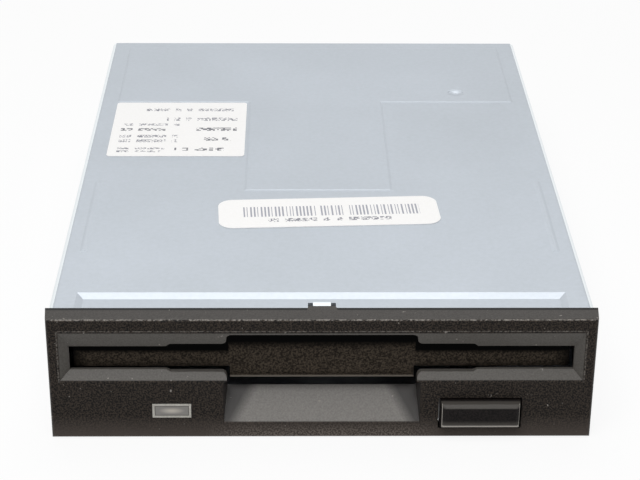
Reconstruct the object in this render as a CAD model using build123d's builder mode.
from build123d import *
import os
from math import asin, cos, degrees, radians, sin

# A 3.5-inch floppy disk drive, in millimetres.
# X runs right seen from the front, Y runs back from the bezel, Z runs up.
# A name that ends in BACK is a distance behind the bezel's face.

# Overall sizes
BEZEL_WIDTH = 101.6
BEZEL_HEIGHT = 25.4
BEZEL_DEPTH = 4.3
BODY_LENGTH = 144.5
BUTTON_PROUD = 2.0
PIN_REACH = 2.5

# Clearances, and how far a cut runs past what it cuts
OVERRUN = 1.0
SLIP = 0.1
RUNNING = 0.05
GLIDE = 0.3

# Bezel: a moulded face with a hollow back
BEZEL_DRAFT = 0.45
BEZEL_TOP_DRAFT = 0.1
BEZEL_EDGE = 0.4
BEZEL_RIM = 1.2
FACE_PLATE = 2.4
RECESS_SIDE_GAP = 2.3
RECESS_LOW = 12.15
RECESS_HIGH = 22.8
RECESS_DEPTH = 1.75
RECESS_MITRE = 1.9
SLOT_LOW = 13.9
SLOT_HIGH = 18.8
STEP_HALF = 28.0
STEP_DOWN = 0.35
STEP_UP = 0.65
STEP_RUN = 0.8
MOUTH_HALF = 17.6
MOUTH_HIGH = 21.9
MOUTH_RADIUS = 1.0
SCOOP_HALF = 18.3
SCOOP_LOW = 3.25
SCOOP_REAR_HALF = 17.7
SCOOP_REAR_LOW = 8.5
SCOOP_DEPTH = 5.3
SCOOP_WALL = 1.2
SCOOP_CHEEK_TOP = 11.0
HOOK_SIDE_GAP = 0.5
HOOK_WIDTH = 2.2
HOOK_THICKNESS = 1.2
HOOK_LENGTH = 5.2
HOOK_NUB_LENGTH = 1.2
HOOK_NUB_RISE = 1.0

# Dust flap, hung on two ears behind the slot
HINGE_BACK = 4.3
HINGE_Z = 20.9
FLAP_END_GAP = 0.6
FLAP_FRONT_BACK = 3.5
FLAP_THICKNESS = 1.0
FLAP_WING_LOW = 13.6
FLAP_TONGUE_HALF = 17.1
FLAP_TONGUE_LOW = 11.5
FLAP_LIP_HEIGHT = 0.5
FLAP_LIP_REACH = 0.4
FLAP_BARREL_RADIUS = 1.1
FLAP_PIN_RADIUS = 0.8
EAR_WIDTH = 2.0
EAR_RADIUS = 1.9
FLAP_SPRING_LENGTH = 3.6
FLAP_SPRING_WALL = 0.4

# Status lamp: a lens in the bezel and a lamp on the motor board
LENS_X = -27.9
LENS_Z = 5.97
LENS_WIDTH = 7.2
LENS_HEIGHT = 2.95
LENS_DEPTH = 3.0
LENS_FLANGE = 0.6
LAMP_GAP = 0.4
LAMP_DEPTH = 4.6
LAMP_DOME_RADIUS = 1.2

# Eject button
BUTTON_X = 29.5
BUTTON_WIDTH = 14.95
BUTTON_LOW = 2.4
BUTTON_HEIGHT = 5.95
BUTTON_FACE_WIDTH = 14.2
BUTTON_FACE_LOW = 3.5
BUTTON_FACE_HEIGHT = 4.6
BUTTON_EDGE = 0.5
BUTTON_BODY = 6.0
BUTTON_GAP = 0.3
BUTTON_SOCKET = 3.0

# Top cover: pressed sheet with skirts, a sunk front ledge and a raised panel
COVER_SHEET = 0.6
COVER_TOP = 24.9
COVER_BEND = 1.3
COVER_FRONT_GAP = 0.2
COVER_SKIRT = 14.0
COVER_REAR_SKIRT = 12.0
LEDGE_DROP = 0.55
LEDGE_SIDE_GAP = 6.1
LEDGE_BACK = 9.6
LEDGE_SLOPE = 1.7
LEDGE_SIDE_SLOPE = 1.3
PANEL_RISE = 0.12
PANEL_SLOPE = 0.5
STEM_SIDE_GAP = 30.5
STEM_LENGTH = 48.7
BAR_SIDE_GAP = 4.5
BAR_LENGTH = 39.5
BAR_END_GAP = 3.4
DIMPLE_SIDE_GAP = 12.9
DIMPLE_BAR_GAP = 6.0
DIMPLE_RADIUS = 2.0
DIMPLE_DROP = 0.4
DIMPLE_FLOOR_SHARE = 0.3
BEAD_SIDE_GAP = 4.3
BEAD_BACK = 28.0
BEAD_LENGTH = 33.0
BEAD_WIDTH = 1.6
BEAD_RISE = 0.1
NOTCH_HALF = 3.35
NOTCH_REAR_HALF = 2.6
NOTCH_BACK = 5.6
TONGUE_RISE = 0.8
TAB_HALF = 1.65
RELIEF_BACK = 8.15
CATCH_FRONT_BACK = 20.0
CATCH_END_GAP = 16.0
CATCH_LENGTH = 6.0
CATCH_HEIGHT = 2.0
CATCH_DROP = 9.0
CATCH_PROUD = 0.55

# Labels on the cover
LABEL_THICKNESS = 0.12
RATING_SIDE_GAP = 4.6
RATING_BAR_GAP = 0.4
RATING_WIDTH = 30.0
RATING_LENGTH = 30.6
RATING_RADIUS = 0.8
BARCODE_X = 2.0
BARCODE_STEM_GAP = 10.3
BARCODE_WIDTH = 45.0
BARCODE_LENGTH = 13.2
BARCODE_TURN = 2.9
BARCODE_RADIUS = 3.0

# Chassis: a die-cast tray with thick side rails, thin upper walls and a floor
RAIL_THICKNESS = 2.0
RAIL_HEIGHT = 10.0
WALL_THICKNESS = 1.0
FLOOR_TOP = 6.0
FLOOR_THICKNESS = 1.4
FLOOR_END_GAP = 3.0
CHASSIS_END_GAP = 1.0
REAR_OPENING_GAP = 3.5
OPENING_POST_GAP = 5.0
FLOOR_WINDOW_HALF = 11.0
FLOOR_WINDOW_LENGTH = 9.0
FRONT_NOTCH_GAP = 0.7
POST_X = 26.0
POST_ARM_GAP = 13.0
POST_END_GAP = 18.0
POST_RADIUS = 2.0
STUD_SPINDLE_GAP = 2.0
STUD_DROP = 1.4
STUD_RADIUS = 1.0
LUG_SPINDLE_GAP = 7.0
LUG_LENGTH = 2.0
LUG_HEIGHT = 1.5

# Mounting holes for M3 screws
MOUNT_HOLE_RADIUS = 1.25
SIDE_HOLE_SHIFT = 6.0
SIDE_HOLE_Z = 5.0
SIDE_BOSS_LENGTH = 6.0
SIDE_BOSS_HEIGHT = 5.5
SIDE_BOSS_REACH = 4.0
BASE_HOLE_INSET = 5.3
BASE_HOLE_BACK = 37.0
BASE_HOLE_BOARD_GAP = 7.0
BASE_BOSS_HALF = 3.2
BASE_HOLE_DEPTH = 4.2

# The disk that the mechanism carries
DISK_LOADED_Z = 12.5
MEDIUM_RISE = 1.65
MEDIUM_GAP = 0.1

# Disk carrier: a folded sheet that holds the disk by its edges
CARRIER_SHEET = 0.8
CARRIER_FRONT_BACK = 14.5
CARRIER_HEAD_GAP = 4.5
CARRIER_SIDE_GAP = 1.3
CARRIER_LIP = 3.2
CARRIER_LIP_Z = 13.4
CARRIER_ROOM = 4.4
CARRIER_MOUTH_HALF = 12.0
CARRIER_MOUTH_LENGTH = 27.0
CARRIER_PIN_FRONT_GAP = 20.5
CARRIER_PIN_END_GAP = 14.0
CARRIER_PIN_RISE = 3.0
CARRIER_PIN_RADIUS = 1.0

# Slide plate: cam slots in its flanges lift the carrier, an arm ends in the button
LOAD_TRAVEL = 5.0
PRESS_TRAVEL = 0.5
CARRIER_DROP = 2.2
SLIDE_SHEET = 0.8
SLIDE_FRONT_BACK = 14.0
SLIDE_END_GAP = 2.0
SLIDE_TOP_GAP = 1.6
SLIDE_FLANGE = 10.0
SLIDE_LEVER_GAP = 10.0
SLIDE_OPENING_HALF = 30.0
SLIDE_LEG_LENGTH = 8.0
SLIDE_ARM_LENGTH = 5.0
SLIDE_ARM_Z = 6.8
SLIDE_TONGUE_WIDTH = 9.0
CAM_CLEARANCE = 0.15
SPRING_WALL_GAP = 3.8
SPRING_RADIUS = 0.9
SPRING_WIRE = 0.4
SPRING_HOOK_SPINDLE_GAP = 13.0
SPRING_HOOK_WIDTH = 0.8
SPRING_HOOK_LENGTH = 1.5

# Shutter lever on top of the carrier
LEVER_X = -22.0
LEVER_SPINDLE_GAP = 12.0
LEVER_REACH = 37.7
LEVER_ANGLE = 32.0
LEVER_SWING = 14.0
LEVER_THICKNESS = 1.0
LEVER_WIDTH = 5.0
LEVER_TIP_WIDTH = 3.6
LEVER_TAIL = 8.0
LEVER_PIN_RADIUS = 1.2
LEVER_PIN_DROP = 3.6
RIVET_RADIUS = 1.5
RIVET_HEAD_RADIUS = 2.4
RIVET_HEAD = 0.4
LEVER_SPRING_RADIUS = 0.5
LEVER_SPRING_LENGTH = 14.0
LEVER_POST_WIDTH = 1.6

# Spindle motor: a flat outer-rotor motor under the floor, with its hub above
SPINDLE_SHIFT = 1.75
SHAFT_RADIUS = 1.5
SHAFT_TIP = 13.6
ROTOR_LOW = 0.6
ROTOR_RADIUS = 27.0
ROTOR_SHEET = 0.6
ROTOR_RIM = 2.7
ROTOR_HOLES = 3
ROTOR_HOLE_RADIUS = 2.5
ROTOR_HOLE_CIRCLE = 17.0
MAGNET_WALL = 1.6
MAGNET_HEIGHT = 2.0
STATOR_TEETH = 12
STATOR_RADIUS = 23.6
STATOR_SHEET = 1.0
STATOR_RING_RADIUS = 12.0
STATOR_BORE_RADIUS = 9.0
TOOTH_WIDTH = 3.0
SHOE_LENGTH = 1.6
SHOE_WIDTH = 8.0
COIL_RING_GAP = 1.5
COIL_LENGTH = 6.5
COIL_WALL = 0.6
COIL_RISE = 0.4
BEARING_RADIUS = 4.0
BEARING_TOP = 9.0
BEARING_FLANGE_RADIUS = 11.5
BEARING_FLANGE = 0.7
HUB_RADIUS = 12.5
HUB_SHEET = 1.2
HUB_GAP = 0.2
HUB_BOSS_RADIUS = 4.0
HUB_BOSS = 1.0
HUB_MAGNET_INNER = 4.6
HUB_MAGNET_OUTER = 8.2
HUB_MAGNET_HEIGHT = 0.8
DRIVE_PIN_CIRCLE = 10.2
DRIVE_PIN_RADIUS = 1.0
DRIVE_PIN_LENGTH = 3.4
DRIVE_PIN_FLANGE = 0.6
DRIVE_PIN_FLANGE_RADIUS = 1.6

# Boards and what stands on them
MOTOR_BOARD_THICKNESS = 1.0
MOTOR_BOARD_SIDE_GAP = 6.3
MOTOR_BOARD_FORE = 34.0
MOTOR_BOARD_AFT = 36.0
BOARD_CORNER = 2.0
LAMP_TONGUE_WIDTH = 12.0
LAMP_TONGUE_BACK = 6.6
MOTOR_SCREW_SIDE_INSET = 3.5
MOTOR_SCREW_INSET = 5.0
MOTOR_CHIP_X = -24.0
MOTOR_CHIP_SPINDLE_GAP = 28.0
MOTOR_CHIP_WIDTH = 11.0
MOTOR_CHIP_LENGTH = 6.0
CHIP_HEIGHT = 1.4
BOARD_THICKNESS = 1.6
BOARD_SIDE_GAP = 2.8
BOARD_FRONT_GAP = 6.0
BOARD_END_GAP = 1.3
BOARD_SCREW_INSET = 5.0
BOARD_SCREW_END_GAP = 7.0
PAD_HALF = 2.4
CONTROLLER_X = 22.0
CONTROLLER_SHIFT = 3.0
CONTROLLER_WIDTH = 14.0
AMPLIFIER_X = -22.0
AMPLIFIER_SHIFT = 2.0
AMPLIFIER_WIDTH = 10.0
CAPACITOR_INSETS = (2.0, 6.5)
CAPACITOR_END_GAP = 6.5
CAPACITOR_RADIUS = 1.8
CAPACITOR_HEIGHT = 6.0
RIBBON_WIDTH = 10.0
RIBBON_SHEET = 0.2
RIBBON_X = 22.0
RIBBON_LAP = 2.0
SCREW_RADIUS = 1.0
SCREW_SIDES = 10
SCREW_HEAD_RADIUS = 1.9
SCREW_HEAD = 1.0
SCREW_BITE = 1.9

# Rear connectors
PIN_SIDE = 0.64
SIGNAL_COLUMNS = 17
SIGNAL_PITCH = 2.54
SIGNAL_INSET = 26.0
SIGNAL_END_ROOM = 2.6
SIGNAL_HEIGHT = 8.6
SIGNAL_DEPTH = 7.5
SIGNAL_BACK_WALL = 2.4
CONNECTOR_WALL = 1.2
TAIL_GAP = 0.5
POWER_INSET = 16.0
POWER_PINS = 4
POWER_PITCH = 2.5
POWER_END_ROOM = 2.4
POWER_HEIGHT = 6.6
POWER_DEPTH = 6.0
POWER_BACK_WALL = 2.0

# Head carriage on its rod and lead screw
HEAD_REACH = 25.0
ROD_INSET = 3.0
ROD_Z = 9.8
ROD_RADIUS = 1.5
ROD_HUB_GAP = 2.5
ROD_POST_LENGTH = 4.0
ROD_POST_WIDTH = 7.0
ROD_POST_TOP = 12.0
SCREW_LINE_RADIUS = 1.5
CARRIAGE_HALF = 17.0
CARRIAGE_LOW = 7.6
CARRIAGE_HEIGHT = 4.4
CARRIAGE_NOSE = 5.0
CARRIAGE_END_GAP = 0.5
CARRIAGE_NOSE_HALF = 7.0
CARRIAGE_SHOULDER_GAP = 4.5
CARRIAGE_WINDOW_HALF = 5.0
CARRIAGE_WINDOW = 9.0
UPRIGHT_HALF = 8.0
UPRIGHT_LENGTH = 5.0
UPRIGHT_TOP = 18.6
ARM_PIN_RADIUS = 0.8
ARM_LIFT = 4.5
ARM_SHEET = 1.0
ARM_HALF = 5.0
ARM_TIP_HALF = 3.5
ARM_NOSE = 3.5
ARM_KNUCKLE_RADIUS = 1.6
HEAD_WIDTH = 4.0
HEAD_LENGTH = 5.0
UPPER_HEAD_HEIGHT = 2.0
FOLLOWER_LENGTH = 8.0
FOLLOWER_WIDTH = 4.4
FOLLOWER_SHEET = 0.4
FOLLOWER_PIN_RADIUS = 0.8
FLAG_REACH = 6.2
FLAG_LENGTH = 3.0
FLAG_THICKNESS = 0.8

# Stepper motor and the bracket that holds it and the rod's rear end
BRACKET_END_GAP = 7.0
BRACKET_SHEET = 1.0
BRACKET_FOOT_WIDTH = 6.5
BRACKET_TOP = 15.6
BRACKET_FOOT = 5.0
BRACKET_FLEX_GAP = 1.0
STEPPER_RADIUS = 6.0
STEPPER_LENGTH = 13.6
STEPPER_EDGE = 0.7
STEPPER_BOSS_RADIUS = 2.4
STEPPER_BOSS = 1.0

# Track-zero sensor, head flex and its connector
SENSOR_SIDE_GAP = 7.5
SENSOR_BRACKET_GAP = 5.0
SENSOR_WIDTH = 6.0
SENSOR_LENGTH = 4.0
SENSOR_HEIGHT = 4.4
SENSOR_GAP = 2.2
SENSOR_SPINE = 1.2
FLEX_HALF = 4.0
FLEX_SHEET = 0.2
FLEX_LAP = 14.5
FLEX_BEND_GAP = 3.0
FLEX_BEND_RADIUS = 0.9
FLEX_SOCKET_GAP = 2.0
FLEX_SOCKET_LENGTH = 4.0
FLEX_SOCKET_HEIGHT = 2.6

# Disk-sensing switches
SWITCH_WALL_GAP = 9.6
SWITCH_SPACING = 6.2
SWITCH_CARRIER_GAP = 11.5
SWITCH_WIDTH = 5.4
SWITCH_LENGTH = 8.0
SWITCH_HEIGHT = 4.6
PLUNGER_RADIUS = 0.9
PLUNGER_TOP = 13.2
PLUNGER_TRAVEL = 1.2
PLUNGER_BORE = 2.6

# Places that follow from the sizes above
FACE_Y = BUTTON_PROUD - (BUTTON_PROUD + BODY_LENGTH + PIN_REACH) / 2
rail_outer = BEZEL_WIDTH / 2
wall_inner = rail_outer - RAIL_THICKNESS
wall_outer = wall_inner + WALL_THICKNESS
floor_bottom = FLOOR_TOP - FLOOR_THICKNESS
chassis_front = BEZEL_DEPTH + SLIP
chassis_end = BODY_LENGTH - CHASSIS_END_GAP
recess_half = rail_outer - RECESS_SIDE_GAP
slot_half = recess_half - RECESS_MITRE
flap_half = slot_half - FLAP_END_GAP
hook_x = wall_inner - HOOK_SIDE_GAP - HOOK_WIDTH / 2

# Places along the drive, worked forward from its rear end
signal_front = BODY_LENGTH - SIGNAL_DEPTH
power_front = BODY_LENGTH - POWER_DEPTH
floor_end = signal_front - FLOOR_END_GAP
bracket_back = floor_end - BRACKET_END_GAP
bracket_end = bracket_back + BRACKET_SHEET
carriage_end = bracket_back - CARRIAGE_END_GAP
head_back = carriage_end - HEAD_REACH
carriage_shoulder = head_back + CARRIAGE_SHOULDER_GAP
upright_front = carriage_end - UPRIGHT_LENGTH
arm_hinge_back = carriage_end - UPRIGHT_LENGTH / 2
follower_back = carriage_shoulder + FOLLOWER_LENGTH
sensor_back = bracket_back - SENSOR_BRACKET_GAP
carrier_end = head_back + CARRIER_HEAD_GAP
carrier_pin_backs = (CARRIER_FRONT_BACK + CARRIER_PIN_FRONT_GAP, carrier_end - CARRIER_PIN_END_GAP)
slide_end = carrier_end - SLIDE_END_GAP
spindle_back = (CARRIER_FRONT_BACK + carrier_end) / 2 + SPINDLE_SHIFT
lever_back = spindle_back - LEVER_SPINDLE_GAP
slide_band_end = lever_back - SLIDE_LEVER_GAP
stud_back = spindle_back - STUD_SPINDLE_GAP
lug_back = spindle_back - LUG_SPINDLE_GAP
spring_hook_back = spindle_back + SPRING_HOOK_SPINDLE_GAP
rod_front = spindle_back + HUB_RADIUS + ROD_HUB_GAP
rod_post_end = rod_front + ROD_POST_LENGTH
rear_opening_back = rod_post_end + OPENING_POST_GAP
post_backs = (SLIDE_FRONT_BACK + SLIDE_ARM_LENGTH + POST_ARM_GAP, carrier_end - POST_END_GAP)
switch_back = CARRIER_FRONT_BACK + SWITCH_CARRIER_GAP
motor_board_front = spindle_back - MOTOR_BOARD_FORE
motor_board_end = spindle_back + MOTOR_BOARD_AFT
motor_screw_backs = (motor_board_front + MOTOR_SCREW_INSET, motor_board_end - MOTOR_SCREW_INSET)
motor_chip_back = spindle_back + MOTOR_CHIP_SPINDLE_GAP
board_front = motor_board_end + BOARD_FRONT_GAP
board_end = BODY_LENGTH - BOARD_END_GAP
board_screw_backs = (board_front + BOARD_SCREW_INSET, floor_end - BOARD_SCREW_END_GAP)
controller_back = (board_front + floor_end) / 2 + CONTROLLER_SHIFT
amplifier_back = (board_front + floor_end) / 2 + AMPLIFIER_SHIFT
capacitor_back = BODY_LENGTH - CAPACITOR_END_GAP
base_hole_backs = (BASE_HOLE_BACK, board_front - BASE_HOLE_BOARD_GAP)
side_hole_backs = [back - SIDE_HOLE_SHIFT for back in base_hole_backs]
catch_backs = (CATCH_FRONT_BACK, floor_end - CATCH_END_GAP)
bar_back = BODY_LENGTH - BAR_LENGTH
stem_back = bar_back - STEM_LENGTH
dimple_back = bar_back + DIMPLE_BAR_GAP
rating_back = bar_back - RATING_BAR_GAP - RATING_LENGTH / 2
barcode_back = stem_back - BARCODE_STEM_GAP
flex_fixed_back = carriage_end - FLEX_LAP
flex_bend_back = bracket_back + FLEX_BEND_GAP
flex_socket_back = bracket_back - FLEX_SOCKET_GAP - FLEX_SOCKET_LENGTH

# Places across the drive, worked inward from its sides
cover_inner = wall_outer + SLIP
cover_outer = cover_inner + COVER_SHEET
ledge_half = cover_outer - LEDGE_SIDE_GAP
bar_half = cover_outer - BAR_SIDE_GAP
stem_half = bar_half - STEM_SIDE_GAP
dimple_x = bar_half - DIMPLE_SIDE_GAP
bead_x = cover_outer - BEAD_SIDE_GAP
rating_x = RATING_SIDE_GAP + RATING_WIDTH / 2 - cover_outer
slide_outer = wall_inner - GLIDE
slide_inner = slide_outer - SLIDE_SHEET
carrier_outer = slide_inner - CARRIER_SIDE_GAP
carrier_inner = carrier_outer - CARRIER_SHEET
spring_x = wall_inner - SPRING_WALL_GAP
switch_x = wall_inner - SWITCH_WALL_GAP
switch_xs = (-switch_x, switch_x - SWITCH_SPACING, switch_x)
base_hole_x = rail_outer - BASE_HOLE_INSET
motor_board_half = base_hole_x - BASE_BOSS_HALF - MOTOR_BOARD_SIDE_GAP
motor_screw_x = motor_board_half - MOTOR_SCREW_SIDE_INSET
board_half = wall_inner - BOARD_SIDE_GAP
board_screw_x = board_half - BOARD_SCREW_INSET
capacitor_xs = [inset - board_half for inset in CAPACITOR_INSETS]
signal_x = board_half - SIGNAL_INSET
power_x = POWER_INSET - board_half
rod_x = CARRIAGE_HALF - ROD_INSET
rear_opening_half = CARRIAGE_HALF + REAR_OPENING_GAP
bracket_half = rear_opening_half + BRACKET_FOOT_WIDTH
sensor_x = CARRIAGE_HALF + SENSOR_SIDE_GAP
coil_start = STATOR_RING_RADIUS + COIL_RING_GAP
button_left = BUTTON_X - BUTTON_WIDTH / 2
button_right = BUTTON_X + BUTTON_WIDTH / 2
foot_screw_x = (rear_opening_half + bracket_half) / 2
foot_screw_back = bracket_end + BRACKET_FOOT / 2

# Heights that pieces share
cover_front = BEZEL_DEPTH + COVER_FRONT_GAP
cover_underside = COVER_TOP - COVER_SHEET
catch_z = COVER_TOP - CATCH_DROP
carrier_ceiling = CARRIER_LIP_Z + CARRIER_SHEET + CARRIER_ROOM
carrier_top = carrier_ceiling + CARRIER_SHEET
carrier_pin_z = CARRIER_LIP_Z + CARRIER_PIN_RISE
slide_bottom = carrier_top + SLIDE_TOP_GAP
slide_top = slide_bottom + SLIDE_SHEET
stud_z = slide_bottom - STUD_DROP
medium_z = DISK_LOADED_Z + MEDIUM_RISE
motor_board_low = floor_bottom - MOTOR_BOARD_THICKNESS
board_top = motor_board_low
board_bottom = board_top - BOARD_THICKNESS
button_high = BUTTON_LOW + BUTTON_HEIGHT
foot_top = FLOOR_TOP + BRACKET_SHEET


# Working planes: level ones look down on the drive, upright ones face its front, side ones its right
def level(height):
    return Plane(origin=(0, FACE_Y, height))


def upright(back):
    return Plane(origin=(0, FACE_Y + back, 0), x_dir=(1, 0, 0), z_dir=(0, -1, 0))


def side(x):
    return Plane(origin=(x, FACE_Y, 0), x_dir=(0, 1, 0), z_dir=(1, 0, 0))


# Shapes that many pieces share
def area(x_low, x_high, y_low, y_high, mode=Mode.ADD):
    """A rectangle in the present sketch, from its edges."""
    with Locations(((x_low + x_high) / 2, (y_low + y_high) / 2)):
        Rectangle(x_high - x_low, y_high - y_low, mode=mode)


def slab(xs, backs, heights, mode=Mode.ADD):
    """A plate or block between two X values, two distances behind the face and two heights."""
    with BuildSketch(level(heights[0])) as plan:
        area(*xs, *backs)
    extrude(plan.sketch, amount=heights[1] - heights[0], mode=mode)


def post(x, back, radius, heights, mode=Mode.ADD):
    """A round post or hole that stands upright."""
    with BuildSketch(level(heights[0])) as plan:
        with Locations((x, back)):
            Circle(radius)
    extrude(plan.sketch, amount=heights[1] - heights[0], mode=mode)


def rod(x, z, radius, backs, mode=Mode.ADD):
    """A round rod or bore that runs from front to back."""
    with BuildSketch(upright(backs[0])) as section:
        with Locations((x, z)):
            Circle(radius)
    extrude(section.sketch, amount=backs[0] - backs[1], mode=mode)


def cross_pin(back, z, radius, xs, mode=Mode.ADD):
    """A round pin or bore that runs from left to right."""
    with BuildSketch(side(xs[0])) as section:
        with Locations((back, z)):
            Circle(radius)
    extrude(section.sketch, amount=xs[1] - xs[0], mode=mode)


def front_taper(front, rear, mode=Mode.ADD):
    """A straight taper between two upright rectangles: back, x low, x high, z low, z high."""
    ends = []
    for back, x_low, x_high, z_low, z_high in (front, rear):
        with BuildSketch(upright(back)) as outline:
            area(x_low, x_high, z_low, z_high)
        ends.append(outline.sketch.face())
    loft(ends, ruled=True, mode=mode)


def level_taper(low, high, mode=Mode.ADD):
    """A straight taper between two level rectangles: height, x low, x high, back low, back high."""
    ends = []
    for height, x_low, x_high, back_low, back_high in (low, high):
        with BuildSketch(level(height)) as outline:
            area(x_low, x_high, back_low, back_high)
        ends.append(outline.sketch.face())
    loft(ends, ruled=True, mode=mode)


def shank(x, back, radius, heights, mode=Mode.ADD):
    """A screw's shank, or the hole for one, with a few flat sides."""
    with BuildSketch(level(heights[0])) as plan:
        with Locations((x, back)):
            RegularPolygon(radius, SCREW_SIDES)
    extrude(plan.sketch, amount=heights[1] - heights[0], mode=mode)


def pan_screw(x, back, seat, bite, up=1):
    """A plain screw: its head lies against the seat and its shank runs the other way."""
    post(x, back, SCREW_HEAD_RADIUS, sorted((seat, seat - up * SCREW_HEAD)))
    shank(x, back, SCREW_RADIUS, sorted((seat, seat + up * bite)))


os.makedirs("parts", exist_ok=True)

# Front bezel: drafted block, hollow behind the face
ear_start = flap_half + GLIDE
ear_end = ear_start + EAR_WIDTH
hook_top = floor_bottom - SLIP
hook_end = BEZEL_DEPTH + HOOK_LENGTH
with BuildPart() as front_bezel:
    front_taper(
        (0, BEZEL_DRAFT - rail_outer, rail_outer - BEZEL_DRAFT,
         BEZEL_TOP_DRAFT, BEZEL_HEIGHT - BEZEL_TOP_DRAFT),
        (BEZEL_DEPTH, -rail_outer, rail_outer, 0, BEZEL_HEIGHT),
    )
    chamfer(front_bezel.edges().group_by(Axis.Y)[0], length=BEZEL_EDGE)
    with BuildSketch(upright(BEZEL_DEPTH)):
        area(BEZEL_RIM - rail_outer, rail_outer - BEZEL_RIM, BEZEL_RIM, BEZEL_HEIGHT - BEZEL_RIM)
    extrude(amount=BEZEL_DEPTH - FACE_PLATE, mode=Mode.SUBTRACT)
    # Disk slot: mitred recess, slot with a stepped middle, and the finger mouth
    front_taper(
        (0, -recess_half, recess_half, RECESS_LOW, RECESS_HIGH),
        (RECESS_DEPTH, -slot_half, slot_half, SLOT_LOW, SLOT_HIGH),
        mode=Mode.SUBTRACT,
    )
    step_high = SLOT_HIGH + STEP_UP
    step_low = SLOT_LOW - STEP_DOWN
    with BuildSketch(upright(FACE_PLATE + OVERRUN)) as slot:
        area(-slot_half, slot_half, SLOT_LOW, SLOT_HIGH)
        with BuildLine():
            Polyline(
                (0, step_low),
                (STEP_HALF, step_low),
                (STEP_HALF + STEP_RUN, SLOT_LOW),
                (STEP_HALF + STEP_RUN, SLOT_HIGH),
                (STEP_HALF, step_high),
                (0, step_high),
            )
            mirror(about=Plane.YZ)
        make_face()
        area(-MOUTH_HALF, MOUTH_HALF, SCOOP_REAR_LOW, MOUTH_HIGH)
        mouth_corners = slot.vertices().filter_by(lambda v: abs(abs(v.X) - MOUTH_HALF) < SLIP)
        fillet(mouth_corners.filter_by(lambda v: v.Y > SCOOP_REAR_LOW + SLIP), radius=MOUTH_RADIUS)
    extrude(amount=FACE_PLATE + 2 * OVERRUN, mode=Mode.SUBTRACT)
    # Finger scoop: a sloping floor between two flared cheeks
    front_taper(
        (FACE_PLATE / 2, -SCOOP_HALF - SCOOP_WALL, SCOOP_HALF + SCOOP_WALL,
         SCOOP_LOW - SCOOP_WALL, SCOOP_CHEEK_TOP),
        (SCOOP_DEPTH, -SCOOP_REAR_HALF - SCOOP_WALL, SCOOP_REAR_HALF + SCOOP_WALL,
         SCOOP_REAR_LOW - SCOOP_WALL, SCOOP_CHEEK_TOP),
    )
    front_taper(
        (0, -SCOOP_HALF, SCOOP_HALF, SCOOP_LOW, RECESS_LOW),
        (SCOOP_DEPTH, -SCOOP_REAR_HALF, SCOOP_REAR_HALF, SCOOP_REAR_LOW, RECESS_LOW),
        mode=Mode.SUBTRACT,
    )
    # Windows for the lens and the button
    with BuildSketch(upright(FACE_PLATE + OVERRUN)):
        with Locations((LENS_X, LENS_Z)):
            Rectangle(LENS_WIDTH + 2 * SLIP, LENS_HEIGHT + 2 * SLIP)
        area(button_left - BUTTON_GAP, button_right + BUTTON_GAP,
             BUTTON_LOW - BUTTON_GAP, button_high + BUTTON_GAP)
    extrude(amount=FACE_PLATE + 2 * OVERRUN, mode=Mode.SUBTRACT)
    # Ears for the flap's pins, floor hooks, and the tongue in the cover's notch
    for hand in (-1, 1):
        xs = sorted((hand * ear_start, hand * ear_end))
        slab(xs, (FACE_PLATE, HINGE_BACK), (HINGE_Z - EAR_RADIUS, HINGE_Z + EAR_RADIUS))
        cross_pin(HINGE_BACK, HINGE_Z, EAR_RADIUS, xs)
        cross_pin(HINGE_BACK, HINGE_Z, FLAP_PIN_RADIUS + RUNNING, xs, mode=Mode.SUBTRACT)
        hook_xs = (hand * hook_x - HOOK_WIDTH / 2, hand * hook_x + HOOK_WIDTH / 2)
        slab(hook_xs, (FACE_PLATE, hook_end), (hook_top - HOOK_THICKNESS, hook_top))
        slab(hook_xs, (hook_end - HOOK_NUB_LENGTH, hook_end), (hook_top, hook_top + HOOK_NUB_RISE))
    tongue_low = cover_underside - LEDGE_DROP
    with BuildSketch(level(tongue_low)):
        with BuildLine():
            Polyline(
                (SLIP - NOTCH_HALF, FACE_PLATE),
                (NOTCH_HALF - SLIP, FACE_PLATE),
                (NOTCH_REAR_HALF - SLIP, NOTCH_BACK - SLIP),
                (SLIP - NOTCH_REAR_HALF, NOTCH_BACK - SLIP),
                close=True,
            )
        make_face()
    extrude(amount=COVER_SHEET + TONGUE_RISE)
front_bezel.part.label = "front_bezel"
export_step(front_bezel.part, "parts/front_bezel.step")

# Dust flap: a plate under a hinge barrel, deeper in the middle, with a lip on its lower edge
flap_spring_start = flap_half - FLAP_SPRING_LENGTH
with BuildPart() as dust_flap:
    with BuildSketch(upright(FLAP_FRONT_BACK)):
        area(-flap_half, flap_half, FLAP_WING_LOW, HINGE_Z)
        area(-FLAP_TONGUE_HALF, FLAP_TONGUE_HALF, FLAP_TONGUE_LOW, HINGE_Z)
    extrude(amount=-FLAP_THICKNESS)
    cross_pin(HINGE_BACK, HINGE_Z, FLAP_BARREL_RADIUS, (-flap_half, flap_half))
    slab(
        (flap_spring_start, flap_half + OVERRUN),
        (FLAP_FRONT_BACK - OVERRUN, HINGE_BACK + EAR_RADIUS),
        (HINGE_Z - EAR_RADIUS, HINGE_Z + EAR_RADIUS),
        mode=Mode.SUBTRACT,
    )
    for hand in (-1, 1):
        inner = flap_spring_start if hand > 0 else flap_half
        cross_pin(HINGE_BACK, HINGE_Z, FLAP_PIN_RADIUS, sorted((hand * inner, hand * (ear_end - SLIP))))
    slab(
        (-FLAP_TONGUE_HALF, FLAP_TONGUE_HALF),
        (FLAP_FRONT_BACK - FLAP_LIP_REACH, FLAP_FRONT_BACK),
        (FLAP_TONGUE_LOW, FLAP_TONGUE_LOW + FLAP_LIP_HEIGHT),
    )
dust_flap.part.label = "dust_flap"
export_step(dust_flap.part, "parts/dust_flap.step")

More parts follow.
